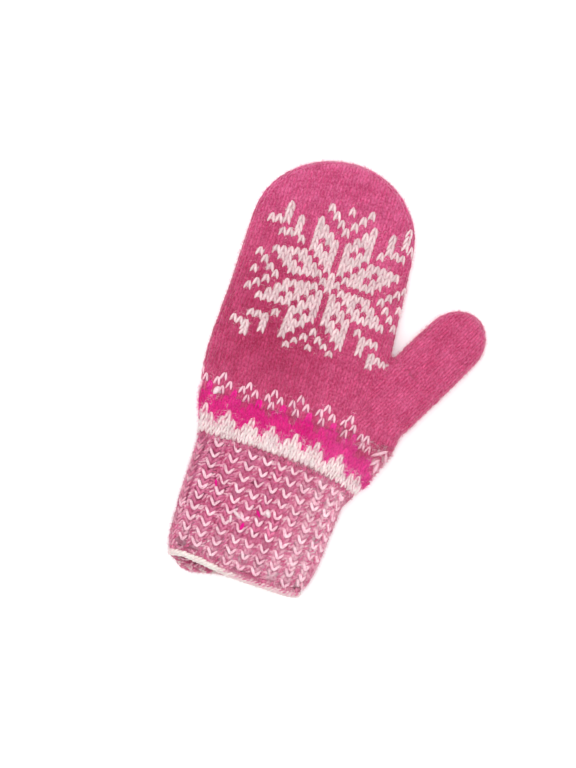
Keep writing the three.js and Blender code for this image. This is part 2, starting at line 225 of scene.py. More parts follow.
# The knitted surface
def readTable(rows, place):
    at = rows[:, 0]
    place = min(max(place, at[0]), at[-1])
    k = min(int(np.searchsorted(at, place, side="right")) - 1, len(at) - 2)
    before, low, high, after = rows[max(k - 1, 0)], rows[k], rows[k + 1], rows[min(k + 2, len(at) - 1)]
    span = high[0] - low[0]
    t = (place - low[0]) / span
    riseIn = (high - before) / (high[0] - before[0]) * span
    riseOut = (after - low) / (after[0] - low[0]) * span
    value = ((2 * t**3 - 3 * t**2 + 1) * low + (t**3 - 2 * t**2 + t) * riseIn
             + (3 * t**2 - 2 * t**3) * high + (t**3 - t**2) * riseOut)
    return value[1:]


def bodySection(y):
    # Left, right, low, high and roundness of the flat-lying mitten at a place above its foot
    if y < mitten["cuffLength"]:
        left, right, tall = readTable(cuffSections, y / mitten["cuffLength"])
        return left * halfCuff, right * halfCuff, 0.0, tall * mitten["cuffHeight"], 3.0
    left, right, gusset, tall = readTable(handSections, (y - mitten["cuffLength"]) / palmLength)
    left, right = left * halfHand, right * halfHand + gusset * mitten["gussetReach"]
    high = tall * mitten["handHeight"]
    if y <= crownStart:
        return left, right, 0.0, high, 2.6
    reach = min((y - crownStart) / mitten["crownLength"], 0.9995)
    curve = math.sqrt(1 - reach * reach)
    flat = curve ** 0.7
    middle = -0.095 * halfHand
    low = 0.07 * mitten["handHeight"] * (1 - flat)
    top = 0.42 * mitten["handHeight"] * (1 - flat) + high * flat
    return middle + (left - middle) * curve, middle + (right - middle) * curve, low, top, 2.6


def thumbSection(along):
    straight = mitten["thumbLength"] - mitten["thumbTipLength"]
    root = 0.95 * mitten["thumbWidth"]
    width, tall = readTable(thumbSections, along / root if along < 0 else along / straight)
    reach = min(max((along - straight) / mitten["thumbTipLength"], 0), 0.9995)
    curve = math.sqrt(1 - reach * reach)
    flat = curve ** 0.75
    half = width * mitten["thumbWidth"] / 2 * curve
    low = 0.08 * mitten["thumbHeight"] * (1 - flat)
    high = (0.42 * (1 - flat) + tall * flat) * mitten["thumbHeight"]
    return -half, half, low, high, 2.6


class Tube:
    # A flat-lying tube known by its sections; places on it are read by length along and arc across
    steps = 240
    quarter = steps // 4
    topOrder = np.r_[3 * quarter:steps, 0:quarter + 1]
    underOrder = np.arange(3 * quarter, quarter - 1, -1)
    sideHeight, underSink = 0.46, 0.16

    def __init__(self, sectionAt, start, end, step=0.001):
        self.sectionAt = sectionAt
        self.at = np.arange(start, end, step)
        self.loops, self.arcs, self.topZero, self.underZero = [], [], [], []
        turn = np.linspace(0, 2 * np.pi, self.steps + 1)
        for y in self.at:
            left, right, low, high, roundness = sectionAt(y)
            power, tall = 2 / roundness, high - low
            x = (left + right) / 2 + (right - left) / 2 * np.sign(np.sin(turn)) * np.abs(np.sin(turn)) ** power
            rise = np.abs(np.cos(turn)) ** power
            up = tall * (1 - self.sideHeight) * rise
            down = np.maximum(-tall * (self.sideHeight + self.underSink) * rise, -tall * self.sideHeight)
            z = low + tall * self.sideHeight + np.where(np.cos(turn) >= 0, up, down)
            arc = np.concatenate([[0], np.cumsum(np.hypot(np.diff(x), np.diff(z)))])
            self.loops.append((x, z))
            self.arcs.append(arc)
            order, below = self.topOrder, self.underOrder
            signed = np.where(order >= 3 * self.quarter, arc[order] - arc[-1], arc[order])
            self.topZero.append(np.interp(0, x[order], signed))
            self.underZero.append(np.interp(0, x[below], arc[below]))

    def station(self, y):
        k = (y - self.at[0]) / (self.at[1] - self.at[0])
        low = int(min(max(math.floor(k), 0), len(self.at) - 2))
        return low, min(max(k - low, 0), 1)

    def between(self, y, readAt):
        # Reads the sections on both sides of a place, and takes what lies between
        low, t = self.station(y)
        return (1 - t) * np.array(readAt(low)) + t * np.array(readAt(low + 1))

    def reach(self, y, face):
        # Arc lengths from the zero line to the left and right sides, on the upper or under face
        def readAt(j):
            arc, quarter = self.arcs[j], self.quarter
            if face > 0:
                return arc[-1] - arc[3 * quarter] + self.topZero[j], arc[quarter] - self.topZero[j]
            return arc[3 * quarter] - self.underZero[j], self.underZero[j] - arc[quarter]
        return self.between(y, readAt)

    def place(self, y, across, face):
        def readAt(j):
            s = (self.topZero[j] + across) if face > 0 else (self.underZero[j] - across)
            return [np.interp(s % self.arcs[j][-1], self.arcs[j], line) for line in self.loops[j]]
        x, z = self.between(y, readAt)
        return np.array([x, y, z])

    def faceAt(self, y, x, face):
        # The point over or under a place in plan
        order = self.topOrder if face > 0 else self.underOrder
        height = self.between(y, lambda j: np.interp(x, self.loops[j][0][order], self.loops[j][1][order]))
        return np.array([x, y, height])

    def holds(self, x, y, z, margin=0.0):
        if y < self.at[0] or y > self.at[-1]:
            return False
        left, right, low, high, roundness = self.sectionAt(y)
        waist = low + (high - low) * self.sideHeight
        half = (right - left) / 2 - margin
        tall = (high - waist if z > waist else (high - low) * (self.sideHeight + self.underSink)) - margin
        if half <= 0 or tall <= 0 or z < low:
            return False
        return abs((x - (left + right) / 2) / half) ** roundness + abs((z - waist) / tall) ** roundness < 1


body = Tube(bodySection, -0.001, mitten["length"] - 0.0003)
thumb = Tube(thumbSection, -0.048, mitten["thumbLength"] - 0.0003)

acrossWay, alongWay, upWay = np.eye(3)
thumbTurn = math.radians(mitten["thumbAngle"])
thumbAcross = np.array([math.cos(thumbTurn), -math.sin(thumbTurn), 0])
thumbAlong = np.array([math.sin(thumbTurn), math.cos(thumbTurn), 0])
crotchUp = mitten["cuffLength"] + mitten["crotchShare"] * palmLength
thumbRoot = (np.array([bodySection(crotchUp)[1], crotchUp, 0])
             + thumbAcross * (mitten["thumbWidth"] / 2 - 0.0008))


def fromThumb(point):
    return thumbRoot + thumbAcross * point[0] + thumbAlong * point[1] + upWay * point[2]


def toThumb(point):
    away = point - thumbRoot
    return float(away @ thumbAcross), float(away @ thumbAlong), float(point[2])


def inFrame(point):
    return Vector((point[0] + footX, point[1] + footY, point[2]))


def fromFrame(point):
    return np.array([point[0] - footX, point[1] - footY, point[2]])


def unit(vector):
    return vector / np.linalg.norm(vector)


def smoothStep(value, low, high):
    t = min(max((value - low) / (high - low), 0), 1)
    return t * t * (3 - 2 * t)


def mouthHangAt(x, y, z):
    upper, under = readTable(mouthLine, x / halfCuff)
    share = smoothStep(z / mitten["cuffHeight"], 0.2, 0.75)
    nearMouth = 1 - smoothStep(y, 0, 0.55 * mitten["cuffLength"])
    return (under + (upper - under) * share) * mitten["mouthHang"] * nearMouth


def addObject(name, data):
    made = bpy.data.objects.new(name, data)
    bpy.context.collection.objects.link(made)
    return made


def keepResult(piece):
    # What the modifiers make becomes the piece's own plain mesh
    mesh = bpy.data.meshes.new_from_object(piece.evaluated_get(bpy.context.evaluated_depsgraph_get()))
    piece.modifiers.clear()
    piece.data = mesh
    mesh.name = piece.name
    return piece


# The knitted parts' own shells, from the solids
shell = {"voxel": 0.0014, "smooth": 6, "sink": 0.00035, "near": 0.0020, "meet": 0.0009, "endsFacing": 0.4,
         "farthest": 0.0045, "facing": 0.2, "follow": 0.7}


def makeShell(name, node):
    piece = addObject(name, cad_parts[node].data.copy())
    weld = piece.modifiers.new("weld", "WELD")
    weld.merge_threshold = 1e-6
    remesh = piece.modifiers.new("remesh", "REMESH")
    remesh.mode, remesh.voxel_size, remesh.use_smooth_shade = "VOXEL", shell["voxel"], True
    soften = piece.modifiers.new("soften", "SMOOTH")
    soften.factor, soften.iterations = 0.5, shell["smooth"]
    draw = piece.modifiers.new("draw in", "DISPLACE")
    draw.strength, draw.mid_level = -shell["sink"], 0
    return keepResult(piece)


shells = {node: makeShell(name, node) for node, name in {
    "cuff_edge": "edge_core", "cuff": "cuff_shell", "wrist_band": "band_shell",
    "hand": "hand_shell", "thumb": "thumb_shell"}.items()}
print("shells made", {n: len(s.data.polygons) for n, s in shells.items()})


def joinEnds():
    # The wool runs on from part to part, so the shells' ends come out to meet
    solids = {node: BVHTree.FromPolygons([v.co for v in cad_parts[node].data.vertices],
                                         [list(p.vertices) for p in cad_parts[node].data.polygons])
              for node in shells}
    for node, piece in shells.items():
        pushed = []
        for vertex, normal in zip(piece.data.vertices, piece.data.vertex_normals):
            for other, solid in solids.items():
                if other == node:
                    continue
                spot = solid.find_nearest(vertex.co, shell["near"])[0]
                if spot is not None and (spot - vertex.co).normalized().dot(normal.vector) > shell["endsFacing"]:
                    pushed.append((vertex, normal.vector.copy()))
                    break
        for vertex, way in pushed:
            vertex.co += way * shell["meet"]


joinEnds()


def shellTree():
    corners, faces = [], []
    for piece in shells.values():
        start = len(corners)
        corners += [v.co.copy() for v in piece.data.vertices]
        faces += [[start + i for i in p.vertices] for p in piece.data.polygons]
    return BVHTree.FromPolygons(corners, faces)


surface = shellTree()


def settle(placing):
    # Lets a stitch lie on the real surface, with its dents
    centre, side, along, outward = placing
    spot, normal, polygon, away = surface.find_nearest(inFrame(centre))
    normal = np.array(normal)
    if away > shell["farthest"] or normal @ outward < shell["facing"]:
        return None
    outward = unit(normal * shell["follow"] + outward * (1 - shell["follow"]))
    side = unit(side - outward * (side @ outward))
    along = unit(along - outward * (along @ outward) - side * (along @ side))
    return fromFrame(spot) + outward * shell["sink"], side, along, outward


def settleAt(x, y, face=1):
    return settle((body.faceAt(y, x, face), acrossWay, alongWay, upWay * face))


# The charts
# One eighth of the star, as columns and rows from its middle; it is mirrored and turned
starEighth = (
    [(0, 0), (0, 1)] + [(1, row) for row in range(2, 7)] + [(2, row) for row in (3, 4, 6, 7)]
    + [(3, row) for row in (4, 5, 7, 8)] + [(4, row) for row in range(5, 10)]
    + [(0, 8), (1, 9), (2, 10), (3, 11), (0, 11)]
    + [(6, 6), (7, 7), (7, 8), (7, 9), (9, 9), (9, 10), (9, 11)])
star = {(sx * a, sy * b) for c, r in starEighth for a, b in ((c, r), (r, c)) for sx in (1, -1) for sy in (1, -1)}

bandRow = -20           # the row through the middle of the small diamonds
bandColumn = 1          # the column through one of them
sideColumn = 16         # from here to the side the wool is stretched, and single strokes stand for the stitches
diamondRows = {1: (0,), 0: (1, 3), -1: (0,)}
hotPinkRows = {-1: (2,), -2: (1, 2, 3), -3: (0, 1, 2, 3), -4: (0, 1, 3), -5: (0,)}
creamRows = {-4: (2,), -5: (1, 2, 3), -6: (0, 1, 2, 3), -7: (0, 1, 2, 3)}


def chartYarn(face, column, row):
    repeat, step = (column - bandColumn) % 4, row - bandRow
    if repeat in diamondRows.get(step, ()) or repeat in creamRows.get(step, ()):
        return "cream"
    if repeat in hotPinkRows.get(step, ()):
        return "hotPink"
    if face > 0 and (column, row) in star:
        return "cream"
    return "pink"


# How the rows and columns lie on the flat mitten, in millimetres
rowPlaces = np.array([
    (-28, 72.8), (-20, 107.4), (-11, 144.4), (-9, 150.2), (-6, 161.8), (0, 185.3), (4, 201.3), (8, 217.8), (9, 222.2),
    (11, 231.2), (17, 256.8), (23, 282.0)])
sagAcross = (-46, -38, -29, -17, -8.5, 0, 8.5, 17, 29, 38, 46, 52, 58, 64)
sagRows = {     # place along: how far the row lies above its middle, at the places across
    77: (-1.0, -1.2, -0.8, -0.4, -0.4, -0.4, -0.5, -0.8, -1.6, -3.2, -5.2, -7.5, -10, -13),
    90: (0, 0.5, 0, 0, -0.6, -0.8, -0.6, -0.6, -1.2, -3.0, -5.0, -10, -15, -21),
    103: (0.7, 0.35, 0, 0, 0.4, 0.7, 1.0, 0.8, -0.1, -1.5, -3.2, -5.2, -11.5, -17.5),
    107.4: (0.9, 0.3, 0, 0.1, 0.7, 1.2, 1.5, 1.2, 0.3, -1.0, -3.2, -7.0, -12, -18),
    112: (0.6, -0.1, -0.4, -0.3, 0.4, 1.1, 1.3, 1.2, 0.3, -0.9, -3.5, -8.3, -12.5, -18.5),
    147.4: (-1.8, -3.3, -3.8, -3.3, -1.5, 0, 0.2, 0.1, 0.6, 0.4, -2.0, -3.0, -4, -5),
    165.7: (-3.7, -4.0, -3.5, -2.6, -1.1, 0, 0, 0, 0.2, -0.5, -2.4, -3.0, -3, -3),
    185.3: (-4.9, -5.0, -3.9, -1.8, -0.6, 0, 0, -0.3, -0.9, -1.7, -2.7, -3.0, -3, -3),
    205.5: (-6.7, -6.1, -4.5, -1.8, -0.6, 0, 0.5, 0.9, 0.7, -0.6, -2.7, -3.0, -3, -3),
    226.7: (-9.8, -7.6, -5.1, -2.1, -1.0, 0, 0.9, 1.2, 0.7, -1.5, -4.3, -5.0, -5, -5),
}
leanAcross = (-46, -38, -29, -17, -8.5, 0, 12, 28, 38, 46, 52, 60)
leanRows = {    # place along: how far a column lies to the right of its even place
    77: (-1.5, -1.5, -1.2, -1.0, -2.0, -2.6, -3.0, -5.0, -4.6, -3.8, -2.4, 0),
    90: (-1.5, -1.3, -1.0, -0.7, -1.6, -2.4, -2.7, -4.6, -4.0, -3.6, -3.4, -3.0),
    107.4: (0.4, 0.9, 1.3, 1.5, 1.3, 1.0, 1.5, 1.4, 0, -1.6, -3.2, -4.0),
    147.4: (-4.0, -4.0, -2.4, -2.0, -1.8, -1.1, 0, 0, 0, 0, 0, 0),
    169.7: (-1.5, -1.2, -0.6, -0.3, 0, 0, 0, 0, 0, 0, 0, 0),
    185.3: (-1.0, 0, 0.2, 0, 0, 0, 0, -0.5, -0.6, -0.3, 0, 0),
    226.7: (-0.3, 0.8, 1.0, 0.2, 0, -0.3, -0.8, -1.2, -0.3, 0, 0, 0),
}


def readGrid(across, rows, x, y):
    at = sorted(rows)
    return np.interp(y, at, [np.interp(x, across, rows[a]) for a in at])


def drape(x, y):
    # Where an even place of the chart really lies
    across, along = x * 1000, y * 1000
    return (x + readGrid(leanAcross, leanRows, across, along) / 1000,
            y + readGrid(sagAcross, sagRows, across, along) / 1000)


# Stitches
stitch = {
    "legLength": 0.0051, "legWidth": 0.0017, "legHeight": 0.0015, "sides": 6, "rings": 4, "sunkUnder": 0.0009,
    # each look: how far a leg leans and stands from the middle in stitches, its reach in rows, width and depth
    "plain": (0.2, 0.25, 1.3, 1.22, 0.00075), "pattern": (0.34, 0.26, 1.24, 1.07, 0.00025),
    "diamond": (0.34, 0.27, 1.12, 0.92, 0.00025), "band": (0.3, 0.25, 1.4, 1.35, 0.0007),
    "peak": (0.34, 0.26, 1.36, 1.15, 0.0002),
    # how unevenly the legs lie, and differ in width and tone
    "strayAcross": 0.00012, "strayAlong": 0.00016, "strayWidth": 0.08, "strayTone": 0.06,
}
chance = np.random.default_rng(11)
legs = {}               # piece: list of (centre, direction, outward, scale, tone)
covers = []             # (centre, outward, ground tone, perhaps strand tone) of each stitch, for shells and fuzz


def rowUp(row):
    return np.interp(row, rowPlaces[:, 0], rowPlaces[:, 1]) / 1000


waleCounts = {1: (15.25, 18.25), -1: (15.75, 17.75)}
gussetColumn = 9


def acrossAt(face, column, y):
    # Where a column runs at a place along the mitten, as an arc from the zero line, and a stitch's width there
    reachLeft, reachRight = body.reach(min(max(y, 0.0), 0.259), face)
    wale = mitten["wale"] * np.interp(y, (0.074, 0.107), (0.885, 1.0))
    if column < 0:
        step = reachLeft / waleCounts[face][0] if y < 0.119 else mitten["wale"]
        return column * step, step
    if y < 0.119 and column > gussetColumn:
        step = (reachRight - gussetColumn * wale) / (waleCounts[face][1] - gussetColumn)
        return gussetColumn * wale + (column - gussetColumn) * step, step
    return column * wale, wale


def pastSide(face, across, y, step):
    reachLeft, reachRight = body.reach(min(max(y, 0.0), 0.259), face)
    slack = (0.3 if face > 0 else -0.2) * step
    return across > reachRight + slack or -across > reachLeft + slack


def frameAt(placeAt, y, across, face):
    # Centre, across, along and outward directions of a stitch on a tube
    small = 0.0006
    side = unit(placeAt(y, across + small, face) - placeAt(y, across - small, face))
    along = unit(placeAt(y + small, across, face) - placeAt(y - small, across, face))
    return placeAt(y, across, face), side, along, unit(np.cross(side, along)) * face


def addLeg(piece, centre, along, outward, scale, tone):
    legs.setdefault(piece, []).append((centre, along, outward, scale, tone))


# Painted light on the back of the hand: painted shade deepens the colour in the middle, and a painted sheen makes the
# crown paler
paintedShading = {"even": 0.98, "deep": np.array([0.25, 0.56, 0.43]), "deepAt": (-0.026, 0.150), "deepReach": (0.046, 0.050),
        "crownSheen": np.array([0.03, 0.13, 0.12]), "crownSheenFrom": 0.190, "crownSheenTo": 0.235}


def brightness(point):
    # The pink's multiple: painted shade in the middle of the hand, painted sheen on the crown
    away = [(point[i] - paintedShading["deepAt"][i]) / paintedShading["deepReach"][i] for i in (0, 1)]
    deep = math.exp(-away[0] ** 2 - away[1] ** 2)
    crownSheen = smoothStep(point[1], paintedShading["crownSheenFrom"], paintedShading["crownSheenTo"])
    return paintedShading["even"] + crownSheen * paintedShading["crownSheen"] - deep * paintedShading["deep"]


def blotch(point, size, seed):
    # Soft patches, from 0 to 1
    return min(max(0.5 + 0.9 * noise.noise(Vector((point[0] / size, point[1] / size, seed))), 0), 1)


def addStitch(piece, placing, wide, tall, yarn, look="plain", turn=0.0):
    # Two legs that meet at the stitch's point, towards the fingertips
    settled = settle(placing)
    if settled is None:
        return
    centre, side, along, outward = settled
    if turn:
        side, along = side * math.cos(turn) - along * math.sin(turn), along * math.cos(turn) + side * math.sin(turn)
    tone = yarns[yarn]
    if yarn == "pink":
        # the pink takes the painted shade of the hand's middle and the painted sheen of its crown
        tone = tone * brightness(centre)
    elif yarn == "hotPink":
        pale = min(0.3 * blotch(centre, 0.008, 3.0) + 0.55 * smoothStep(centre[0], 0.010, 0.040), 0.8)
        tone = mixed(tone, yarns["hotPale"], pale)
    beneath = {"pattern": "underWhite", "peak": "underPeak", "diamond": "underDiamond"}.get(look)
    covers.append((centre, outward, yarns[beneath] if beneath else tone, tone))
    under = max(0.0, -outward[2])
    lean, stand, span, width, sunk = stitch[look]
    depth = sunk * (1 - under) + stitch["sunkUnder"] * under
    for hand in (-1, 1):
        run = along * span * tall - side * lean * wide * hand
        length = np.linalg.norm(run)
        middle = centre + side * hand * wide * stand - outward * depth
        middle += side * chance.normal(0, stitch["strayAcross"]) + along * chance.normal(0, stitch["strayAlong"])
        grow = width * (1 + chance.normal(0, stitch["strayWidth"]))
        addLeg(piece, middle, run / length, outward,
               (wide / mitten["wale"] * grow, length / stitch["legLength"], grow),
               tone * (1 + chance.normal(0, stitch["strayTone"])))


gusset = {"foot": 0.109, "crotch": 0.152, "lineX": 0.038, "lineSlope": 0.25, "wale": 0.0036, "course": 0.0039}


def inGusset(x, y):
    return (gusset["foot"] < y < gusset["crotch"] + 0.004
            and x > gusset["lineX"] + (y - gusset["foot"]) * gusset["lineSlope"])


# The row where the band meets the rib: short white stitches with a pink row below
bandFoot = {"raise": 0.0016, "short": 0.72, "below": 0.0022, "pinkTall": 0.66}


def knitBody():
    for face in (1, -1):
        for row in range(bandRow - 7, 24):
            tall = rowUp(row + 1) - rowUp(row)
            for column in range(-18, 23):
                y = rowUp(row)
                across, step = acrossAt(face, column, y)
                across, y = drape(across, y)
                if y > mitten["length"] - 0.003 or pastSide(face, across, y, step):
                    continue
                placing = frameAt(body.place, y, across, face)
                x = placing[0][0]
                if inGusset(x, y) or thumb.holds(*toThumb(placing[0]), margin=0.0004):
                    continue
                slope = (drape(across + 0.002, y)[1] - drape(across - 0.002, y)[1]) / 0.004
                turn = math.atan(slope) * (0.8 if row <= bandRow + 1 else 0.4) if face > 0 else 0
                turn *= 1 - 0.8 * smoothStep(x, 0.036, 0.048)
                yarn = chartYarn(face, column, row)
                if yarn == "pink":
                    piece = "hand_back_stitches" if face > 0 else "hand_palm_stitches"
                    addStitch(piece, placing, step, tall, yarn, "plain", -turn)
                elif yarn == "hotPink":
                    addStitch("hot_pink_stitches", placing, step, tall, yarn, "band", -turn)
                elif row == bandRow - 7:
                    raised = frameAt(body.place, y + bandFoot["raise"], across, face)
                    addStitch("white_peak_stitches", raised, step, tall * bandFoot["short"], "peak", "peak", -turn)
                    below = frameAt(body.place, y - bandFoot["below"], across, face)
                    addStitch("rib_pink_stitches", below, step, tall * bandFoot["pinkTall"],
                              "cuffPink", "diamond", -turn)
                elif row < bandRow - 2:
                    addStitch("white_peak_stitches", placing, step, tall, "peak", "peak", -turn)
                elif row < bandRow + 3:
                    if face < 0 or column < sideColumn:
                        addStitch("star_and_diamond_stitches", placing, step, tall, "diamond", "diamond", -turn)
                else:
                    addStitch("star_and_diamond_stitches", placing, step, tall, yarn, "pattern", -turn)


def knitRim(piece, sectionAt, start, tip, toMitten, wale):
    # Rows that follow a rounded end's side line, where the decreases meet
    for height, lane, draw in ((0.72, 1, 0.95), (0.46, 0, 1.0), (0.22, -1, 0.96)):
        path = []
        for turn in np.linspace(0, np.pi, 400):
            y = start + tip * math.sin(turn) * 0.9985
            left, right, low, high, roundness = sectionAt(y)
            middle = (left + right) / 2
            x = middle + ((right if turn < np.pi / 2 else left) - middle) * draw
            path.append(toMitten((x, y - 0.0012 * abs(lane), low + (high - low) * height)))
        path = np.array(path)
        steps = np.concatenate([[0], np.cumsum(np.linalg.norm(np.diff(path, axis=0), axis=1))])
        count = int(steps[-1] / wale)
        for k in range(count + 1):
            s = k * steps[-1] / count
            point, ahead, behind = (np.array([np.interp(at, steps, line) for line in path.T])
                                    for at in (s, min(s + 0.001, steps[-1]), max(s - 0.001, 0)))
            along = unit(ahead - behind)
            outward = unit(unit(np.cross(along, upWay)) + upWay * 0.75 * lane)
            name = piece if lane >= 0 else piece.replace("back", "palm")
            addStitch(name, (point, np.cross(along, outward), along, outward), wale, wale, "pink")


def knitThumb():
    # The thumb's columns start in the gusset, at the band
    def placeAt(y, across, face):
        return fromThumb(thumb.place(y, across, face))

    for face in (1, -1):
        for row in range(-12, 14):
            along = 0.0015 + row * gusset["course"]
            if along > mitten["thumbLength"] - 0.0025:
                continue
            reachLeft, reachRight = thumb.reach(along, face)
            for column in range(-9, 10):
                across = (column + 0.5 * (face < 0)) * gusset["wale"]
                if across > reachRight + 0.2 * gusset["wale"] or -across > reachLeft + 0.2 * gusset["wale"]:
                    continue
                placing = frameAt(placeAt, along, across, face)
                x, y, z = placing[0]
                if body.holds(x, y, z, margin=0.0002):
                    if not inGusset(x, y):
                        continue
                    left, right, low, high, roundness = bodySection(y)
                    if x > right - 0.004:
                        continue
                    placing = (body.faceAt(y, x, face), placing[1], placing[2], upWay * face)
                elif y < gusset["foot"]:
                    continue
                addStitch("thumb_stitches", placing, gusset["wale"], gusset["course"], "pink")


# The rib's cream stitches on the upper side, in millimetres: columns at the rib's top and foot, and the
# lowest points of its first and last cream rows at the places across
rib = {
    "topColumns": (-45.1, -34.8, -22.6, -12.2, -2.8, 6.4, 14.9, 24.1, 33.8, 41.8, 47.5),
    "footColumns": (-45.5, -38.4, -29.3, -18.3, -7.9, 1.2, 11.0, 20.7, 30.5, 39.3, 44.6),
    "across": (-45, -35, -23, -12, -3, 6, 15, 24, 34, 42, 47),
    "firstRow": (67.7, 70.5, 70.8, 69.2, 68.6, 68.3, 68.3, 66.8, 65.3, 63.7, 61.6),
    "lastRow": (9.2, 9.3, 7.4, 3.8, 2.5, 2.7, 2.3, 1.5, 0.8, 0.3, 1.4),
    "topUp": 68.3, "footUp": 2.5,   # where the columns were read
    "rows": 9,                      # steps from the first cream row to the last
    # the path of one stitch's strand, in millimetres across and along from its lowest point
    "path": ((-3.1, 4.4), (-2.1, 2.8), (-0.9, 0.8), (0.2, 0.1), (1.3, 1.3), (2.7, 3.7)),
    "hook": ((-4.9, 2.4), (-4.3, 3.8), (-3.4, 4.3), (-2.6, 3.6)),
    # the ground between the strands: place across and along, yarn and brightness; the cuffShade spots and brightness
    # under 1 are painted shade in the recesses
    "grounds": ((-0.0005, 0.0042, "cuffShade", 0.85), (-0.0034, 0.0012, "cuffPink", 0.9), (0, 0, "cuffPink", 0.95),
                (0.0036, 0.0018, "cuffPink", 0.85), (-0.0048, 0.0034, "cuffShade", 1.05)),
    "bumps": ((-4.6, 0.4), (-4.7, 2.4), (4.2, 1.4), (4.1, 3.4)),
    "steps": 9, "width": 0.0019, "height": 0.0010, "sunk": 0.0001, "pinkSunk": 0.0006, "sides": 7,
    "bumpSize": (0.75, 0.62, 0.8), "bumpSunk": 0.0004, "underSunk": 0.0006,
    # columns at the sides, which the plan doesn't reach: first row, course, heights as shares, and the legs
    "sideTop": 0.0665, "sideCourse": 0.0034, "sideShares": (0.26, 0.5, 0.74),
    "sideApart": 0.0011, "sideSize": (0.85, 0.85, 0.85),
}
strands = {}            # piece: list of (ring middles, tangents, outwards, width, height, tone)


def addStrand(piece, spots, face, width, height, tone, sunk):
    # A strand laid on the surface along places in plan
    spots = np.array(spots)
    at = np.linspace(0, len(spots) - 1, rib["steps"])
    middles, outwards = [], []
    for place in at:
        k = min(int(place), len(spots) - 2)
        a, b, c, d = spots[max(k - 1, 0)], spots[k], spots[k + 1], spots[min(k + 2, len(spots) - 1)]
        t = place - k
        x, y = 0.5 * (2 * b + (c - a) * t + (2 * a - 5 * b + 4 * c - d) * t**2 + (3 * b - a - 3 * c + d) * t**3)
        settled = settleAt(x, y, face)
        if settled is None:
            return
        middles.append(settled[0] - settled[3] * sunk)
        outwards.append(settled[3])
    middles = np.array(middles)
    tangents = np.gradient(middles, axis=0)
    strands.setdefault(piece, []).append((middles, tangents, outwards, width, height, tone))


def sweepStrands(name):
    # One closed tube for each strand, as a plain mesh
    corners, faces, tones, troughShades, sides = [], [], [], [], rib["sides"]
    for middles, tangents, outwards, width, height, tone in strands[name]:
        start, count = len(corners), len(middles)
        for k in range(count):
            share = k / (count - 1)
            taper = min(1.0, 0.3 + 5 * share, 0.3 + 5 * (1 - share))
            side = unit(np.cross(tangents[k], outwards[k]))
            for j in range(sides):
                turn = 2 * math.pi * j / sides
                corners.append(inFrame(middles[k] + side * math.sin(turn) * width / 2 * taper
                                       + outwards[k] * math.cos(turn) * height / 2 * taper))
                tones.append(tone)
                # painted shade on the ring's lower side
                troughShades.append(1 - smoothStep(math.cos(turn) * taper, -0.1, 0.7))
        for k in range(count - 1):
            for j in range(sides):
                a, b = start + k * sides + j, start + k * sides + (j + 1) % sides
                faces.append((a, a + sides, b + sides, b))
        faces.append(tuple(start + j for j in range(sides)))
        faces.append(tuple(start + (count - 1) * sides + j for j in reversed(range(sides))))
    mesh = bpy.data.meshes.new(name + " strands")
    mesh.from_pydata(corners, [], faces)
    mesh.polygons.foreach_set("use_smooth", [True] * len(mesh.polygons))
    storeTone(mesh, tones)
    storeValues(mesh, "trough", "FLOAT", troughShades)
    return mesh


def ribColumn(k, y):
    share = (y * 1000 - rib["footUp"]) / (rib["topUp"] - rib["footUp"])
    return (rib["footColumns"][k] + (rib["topColumns"][k] - rib["footColumns"][k]) * share) / 1000


def ribStitch(x, y, face, cream, size):
    tone = yarns["cuffCream" if cream else "cuffPink"]
    outward = upWay * face
    pale = min(0.75 * smoothStep(x, 0.008, 0.042) + 0.55 * (1 - smoothStep(y, 0.004, 0.028)), 0.8)
    deep = 1 - smoothStep(x, -0.044, -0.016)
    # painted shade in the grooves between the strands
    for aside, up, name, bright in rib["grounds"]:
        ground = mixed(yarns[name], yarns["cuffCream"], 0.5 * pale)
        bright += chance.normal(0, 0.16) - 0.16 * deep
        covers.append((body.faceAt(y + up, x + aside, face), outward, ground * bright))
    low = rib["underSunk"] if face < 0 else 0.0
    # Purl bumps in the groove between two columns
    for aside, up in rib["bumps"][:4 if face > 0 else 2]:
        spot = (x + aside / 1000 + chance.normal(0, 0.0003), y + up / 1000 + chance.normal(0, 0.0003))
        shade = mixed(yarns["cuffPink"], tone, 0.65 * chance.random())
        settled = settleAt(*spot, face)
        if settled:
            centre, side, along, out = settled
            turn = chance.normal(0.9, 0.35)
            addLeg("rib_pink_stitches", centre - out * (rib["bumpSunk"] + low),
                   side * math.sin(turn) + along * math.cos(turn), out, rib["bumpSize"], shade)
    wide = rib["width"] * (1 + chance.normal(0, 0.08))

    def strand(path, piece, width, sunk, tone):
        spots = [np.array([x, y]) + (np.array(spot) * (size, 1) + chance.normal(0, 0.16, 2)) / 1000 for spot in path]
        addStrand(piece, spots, face, width, rib["height"], tone, sunk + low)

    if cream:
        dull = 0.28 + 0.35 * chance.random()
        strand(rib["path"], "rib_white_stitches", wide, rib["sunk"], tone * (1 + chance.normal(0, 0.05)))
        strand(rib["hook"], "rib_white_stitches", wide * 0.8, rib["sunk"] + 0.0002,
               mixed(tone, yarns["cuffPink"], dull))
    else:
        strand(rib["path"], "rib_pink_stitches", wide * 1.05, rib["pinkSunk"],
               mixed(tone, yarns["cuffCream"], 0.7 * pale) * (0.93 + chance.normal(0, 0.1)))


